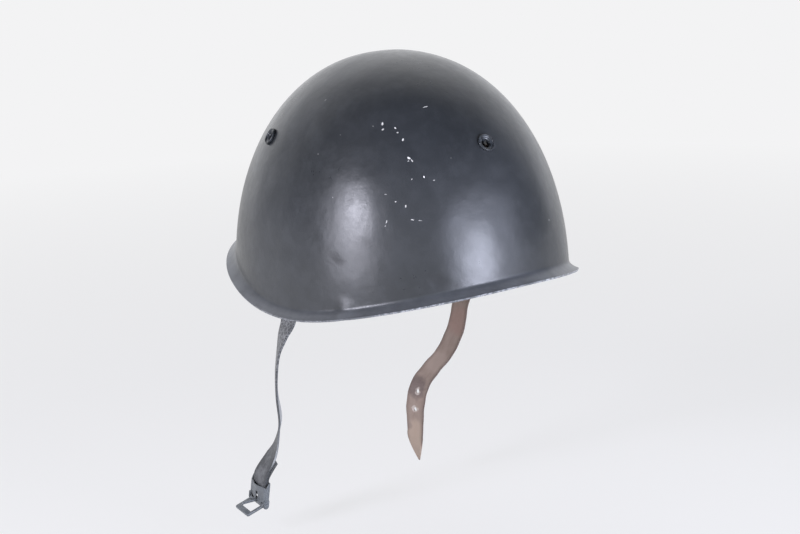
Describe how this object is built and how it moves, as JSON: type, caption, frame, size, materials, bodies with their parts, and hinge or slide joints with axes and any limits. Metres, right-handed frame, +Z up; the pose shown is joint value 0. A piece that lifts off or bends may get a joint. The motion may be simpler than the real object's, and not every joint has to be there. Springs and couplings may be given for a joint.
{
  "type": "parade helmet",
  "caption": "Pressed steel parade helmet with a turned-out rim, vent bushes, a sprung leather lining in a steel hoop and a two-part leather chin strap with a pronged buckle.",
  "frame": {"origin": "head seat: the centre of the lining, level with the lower edge of the liner hoop", "axes": "+Z up through the crown, -Y the way the wearer faces, +X the wearer's left"},
  "size_m": [0.2428, 0.2811, 0.3367],
  "materials": {
    "shell_paint": "satin blue-black enamel, worn, with small chips",
    "bush_paint": "the same enamel, worn to metal on the lips",
    "liner_steel": "grey phosphate, rubbed",
    "rivet_steel": "dull zinc grey",
    "felt": "pressed wool felt",
    "lining_leather": "smooth brown leather, darkened by wear",
    "lace": "braided cotton",
    "grey_leather": "painted grey leather, crazed",
    "brown_leather": "worn brown leather, dry",
    "brass": "dull brass tubular rivets",
    "buckle_metal": "grey painted steel, rubbed bright on the edges"
  },
  "bodies": {
    "helmet": {"shell": "shell_paint", "vent_bush_left": "bush_paint", "vent_bush_right": "bush_paint", "vent_bush_rear": "bush_paint", "vent_washer_left": "rivet_steel", "vent_washer_right": "rivet_steel", "vent_washer_rear": "rivet_steel", "liner_bracket_left": "liner_steel", "liner_bracket_right": "liner_steel", "liner_bracket_rear": "liner_steel", "bracket_rivets": "rivet_steel", "liner_hoop": "liner_steel", "felt_band": "felt", "headband": "lining_leather", "headband_rivets": "brass", "crown_tongue_1": "lining_leather", "crown_tongue_2": "lining_leather", "crown_tongue_3": "lining_leather", "crown_tongue_4": "lining_leather", "crown_tongue_5": "lining_leather", "crown_tongue_6": "lining_leather", "crown_tongue_7": "lining_leather", "crown_tongue_8": "lining_leather", "crown_lace": "lace", "strap_anchor_left": "liner_steel", "strap_anchor_right": "liner_steel", "anchor_rivets": "rivet_steel"},
    "loop_left": {"strap_loop_left": "liner_steel"},
    "chin_strap_left": {"strap_left": "grey_leather", "strap_rivet_left": "rivet_steel", "buckle_sleeve": "buckle_metal", "buckle_sleeve_rivet": "rivet_steel", "buckle_pin": "rivet_steel"},
    "frame": {"buckle_frame": "buckle_metal"},
    "prong": {"buckle_prong": "buckle_metal"},
    "loop_right": {"strap_loop_right": "liner_steel"},
    "chin_strap_right": {"strap_right": "brown_leather", "strap_rivet_right": "rivet_steel"}
  },
  "joints": [
    {"name": "loop_left_swing", "type": "hinge", "parent": "helmet", "child": "loop_left", "pos_m": [0.08743, -0.01837, -0.006], "axis": [0.1385, 0.9904, 0], "range_deg": [-20, 30]},
    {"name": "strap_left_swing", "type": "hinge", "parent": "loop_left", "child": "chin_strap_left", "pos_m": [0.08743, -0.01837, -0.021], "axis": [0.1385, 0.9904, 0], "range_deg": [-20, 35]},
    {"name": "frame_swing", "type": "hinge", "parent": "chin_strap_left", "child": "frame", "pos_m": [0.1095, -0.041, -0.196], "axis": [0.063, 0.9926, -0.104], "range_deg": [-20, 45]},
    {"name": "prong_lift", "type": "hinge", "parent": "frame", "child": "prong", "pos_m": [0.1095, -0.041, -0.196], "axis": [-0.063, -0.9926, 0.104], "range_deg": [-18, 20]},
    {"name": "loop_right_swing", "type": "hinge", "parent": "helmet", "child": "loop_right", "pos_m": [-0.08743, -0.01837, -0.006], "axis": [-0.1385, 0.9904, 0], "range_deg": [-30, 20]},
    {"name": "strap_right_swing", "type": "hinge", "parent": "loop_right", "child": "chin_strap_right", "pos_m": [-0.08743, -0.01837, -0.021], "axis": [-0.1385, 0.9904, 0], "range_deg": [-35, 20]}
  ]
}
